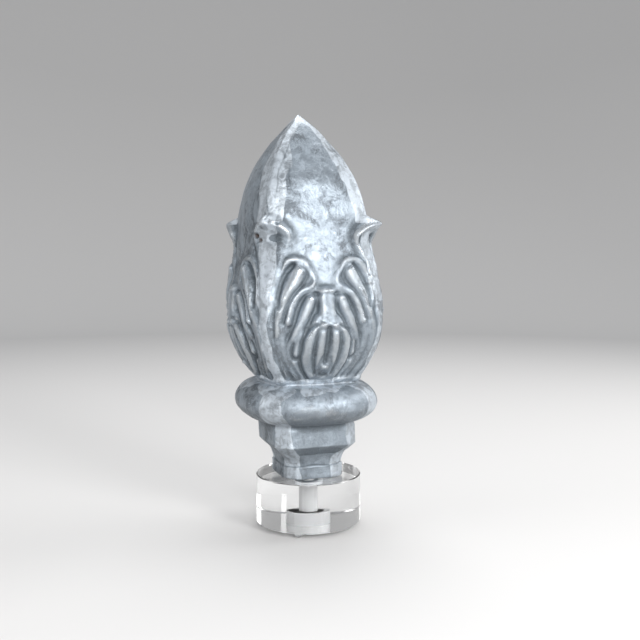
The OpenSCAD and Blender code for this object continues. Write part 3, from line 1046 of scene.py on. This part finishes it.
def make_feet(rubber):
    """Geometry Nodes: one rubber cap set at each CAD foot's place round the disc."""
    r = (FOOT_HIGH[0] - FOOT_LOW[0]) / 2
    tall = FOOT_HIGH[2] - FOOT_LOW[2]
    middle = (FOOT_LOW + FOOT_HIGH) / 2
    segments, levels, flat = 48, 10, 1.5
    ball_z = (r * r + tall * tall - flat * flat) / (2 * tall)
    ball_r = math.hypot(flat, ball_z)
    profile = [(flat, 0.0)] + [(math.sqrt(ball_r ** 2 - (ball_z - z) ** 2), z)
                               for z in np.linspace(0, tall, levels)[1:]]
    vertices = np.vstack([(0, 0, 0), *rings(profile, full_circle(segments)), (0, 0, tall)])
    last = len(vertices) - 1
    faces = grid_faces(len(profile), segments, first=1)
    faces += fan_faces(1, segments, 0, down=True) + fan_faces(last - segments, segments, last)
    cap = new_object("foot_cap", vertices, faces, [rubber])

    tree = GeometryTree("foot_ring", {
        "Ring radius": float(np.hypot(middle[0], middle[1])) * MM,
        "First turn": math.atan2(middle[1], middle[0])})
    given = tree.given
    ring = tree.add("GeometryNodeMeshCircle", {"Vertices": 4, "Radius": [given["Ring radius"]]})
    first_turn = tree.add("ShaderNodeCombineXYZ", {"Z": [given["First turn"]]})
    turned = tree.add("GeometryNodeTransform", {"Geometry": [ring], "Rotation": [first_turn]})
    feet = tree.add("GeometryNodeInstanceOnPoints", {
        "Points": [turned], "Instance": [given["Geometry"]]})
    tree.finish(feet, rubber)
    obj = tree.bake(cap, "rubber_feet")
    smooth_by_angle(obj, 40)
    settle_in(obj, "clear_rubber", *(f"bumper_foot_{k}" for k in (1, 2, 3, 4)))


# -------------------------------------------------------------------- stage

# Share of its colour with which the paper lights the finial.
PAPER_BOUNCE = 0.36
# Lamps: name, turn from the camera in degrees, height, distance and size in metres,
# power in watts.
LAMPS = [
    ("key", 40, 0.55, 0.95, 0.3, 5.0),
    ("front_fill", 8, 0.42, 1.2, 0.5, 7.2),
    ("left_fill", -75, 0.6, 1.1, 0.7, 2.2),
    ("right_rim", 105, 0.7, 1.0, 0.5, 3.4),
    ("top", 180, 1.3, 0.5, 0.8, 7.0),
]
LAMP_AIM = (0, 0, 0.15)
WORLD_COLOUR, WORLD_STRENGTH = (0.95, 0.97, 1.0, 1), 0.42
# The point that the camera faces: metres to the right of the axis, and above the table.
AIM_ASIDE, AIM_HEIGHT = 0.0086, 0.1495


def backdrop_material(colour):
    """Plain paper that shows its own colour but throws less light on the finial."""
    n = Nodes("studio_paper")
    path = n.add("ShaderNodeLightPath").outputs
    seen = n.math("MAXIMUM", path["Is Camera Ray"], path["Is Glossy Ray"])
    seen = n.math("MAXIMUM", seen, path["Is Transmission Ray"])
    dim = tuple(c * PAPER_BOUNCE for c in colour)
    n.link(n.mix(seen, dim, colour), n.shader.inputs["Base Color"])
    n.shader.inputs["Roughness"].default_value = 0.9
    n.shader.inputs["Specular IOR Level"].default_value = 0.1
    return n.material


def make_backdrop(settings):
    """A round floor that curves up into a wall on every side."""
    paper = backdrop_material(settings.backdrop)
    turn = full_circle(96)
    floor_r, bend, wall_top = 1500, 500, 2600
    curve = [(floor_r + bend * math.sin(a), bend * (1 - math.cos(a)))
             for a in np.linspace(0, math.pi / 2, 20)]
    disc = np.vstack([(0, 0, 0), *rings([(500, 0), (floor_r, 0)], turn)])
    faces = fan_faces(1, len(turn), 0) + [q[::-1] for q in grid_faces(2, len(turn), first=1)]
    floor = new_object("floor", disc, faces, [paper])
    path = [*curve, (floor_r + bend, wall_top)]
    faces = [q[::-1] for q in grid_faces(len(path), len(turn))]
    wall = new_object("wall", np.concatenate(rings(path, turn)), faces, [paper])
    wall.visible_diffuse = False
    wall.visible_shadow = False


def stand_and_aim(obj, turn, distance, height, target):
    """Stands a lamp or the camera at a turn round the axis, facing a point."""
    obj.location = (distance * math.sin(turn), -distance * math.cos(turn), height)
    obj.rotation_mode = "QUATERNION"
    obj.rotation_quaternion = (Vector(target) - obj.location).to_track_quat("-Z", "Y")


def add_lamp(camera_turn, name, degrees, height, distance, size, power):
    """A square area lamp that looks at the finial."""
    data = bpy.data.lights.new(name, "AREA")
    data.shape = "SQUARE"
    data.size = size
    data.energy = power
    turn = camera_turn + math.radians(degrees)
    stand_and_aim(link_object(name, data), turn, distance, height, LAMP_AIM)


def make_camera(settings):
    """The camera, turned to look a little beside the axis."""
    data = bpy.data.cameras.new("camera")
    data.lens = settings.lens
    data.sensor_width = 36.0
    camera = link_object("camera", data)
    turn = settings.camera_turn
    aim = (AIM_ASIDE * math.cos(turn), AIM_ASIDE * math.sin(turn), AIM_HEIGHT)
    stand_and_aim(camera, turn, settings.camera_distance, settings.camera_height, aim)
    bpy.context.scene.camera = camera


def make_world():
    """An even, slightly cool glow from all round."""
    world = bpy.data.worlds.new("studio")
    world.use_nodes = True
    glow = world.node_tree.nodes["Background"]
    glow.inputs["Color"].default_value = WORLD_COLOUR
    glow.inputs["Strength"].default_value = WORLD_STRENGTH
    bpy.context.scene.world = world


# ----------------------------------------------------------- add-on classes


class FINIAL_OT_zinc(bpy.types.Operator):
    """Build the carved zinc body"""

    bl_idname = "finial.zinc"
    bl_label = "Zinc body"

    def execute(self, context):
        make_finial(context.scene.finial_zinc)
        return {"FINISHED"}


class FINIAL_OT_disc(bpy.types.Operator):
    """Build the clear acrylic disc"""

    bl_idname = "finial.disc"
    bl_label = "Acrylic disc"

    def execute(self, context):
        make_disc(context.scene.finial_base)
        return {"FINISHED"}


class FINIAL_OT_fixings(bpy.types.Operator):
    """Build the screw and its washer"""

    bl_idname = "finial.fixings"
    bl_label = "Screw and washer"

    def execute(self, context):
        steel = steel_material()
        make_screw(context.scene.finial_base, steel)
        make_washer(steel)
        return {"FINISHED"}


class FINIAL_OT_feet(bpy.types.Operator):
    """Build the four rubber feet"""

    bl_idname = "finial.feet"
    bl_label = "Rubber feet"

    def execute(self, context):
        make_feet(rubber_material())
        return {"FINISHED"}


class FINIAL_OT_stage(bpy.types.Operator):
    """Set up the backdrop, lamps, world and camera"""

    bl_idname = "finial.stage"
    bl_label = "Stage"

    def execute(self, context):
        settings = context.scene.finial_stage
        make_backdrop(settings)
        for lamp in LAMPS:
            add_lamp(settings.camera_turn, *lamp)
        make_world()
        make_camera(settings)
        context.scene.view_settings.view_transform = "Standard"
        return {"FINISHED"}


class FINIAL_PT_panel(bpy.types.Panel):
    """Lists the finial's builders"""

    bl_idname = "FINIAL_PT_panel"
    bl_label = "Zinc roof finial"
    bl_space_type = "VIEW_3D"
    bl_region_type = "UI"
    bl_category = "Finial"

    def draw(self, context):
        for operator in OPERATORS:
            self.layout.operator(operator.bl_idname)
        for group in GROUPS:
            settings = getattr(context.scene, group)
            box = self.layout.box()
            for name in settings.__annotations__:
                box.prop(settings, name)


GROUPS = {"finial_zinc": ZincSettings, "finial_base": BaseSettings, "finial_stage": StageSettings}
OPERATORS = [FINIAL_OT_zinc, FINIAL_OT_disc, FINIAL_OT_fixings, FINIAL_OT_feet, FINIAL_OT_stage]
CLASSES = [*GROUPS.values(), *OPERATORS, FINIAL_PT_panel]


def register():
    for cls in CLASSES:
        bpy.utils.register_class(cls)
    for name, group in GROUPS.items():
        setattr(bpy.types.Scene, name, PointerProperty(type=group))


def unregister():
    for name in GROUPS:
        delattr(bpy.types.Scene, name)
    for cls in reversed(CLASSES):
        bpy.utils.unregister_class(cls)


def main():
    register()
    bpy.ops.finial.zinc()
    bpy.ops.finial.disc()
    bpy.ops.finial.fixings()
    bpy.ops.finial.feet()
    bpy.ops.finial.stage()
    bpy.context.view_layer.update()


if __name__ == "__main__":
    main()
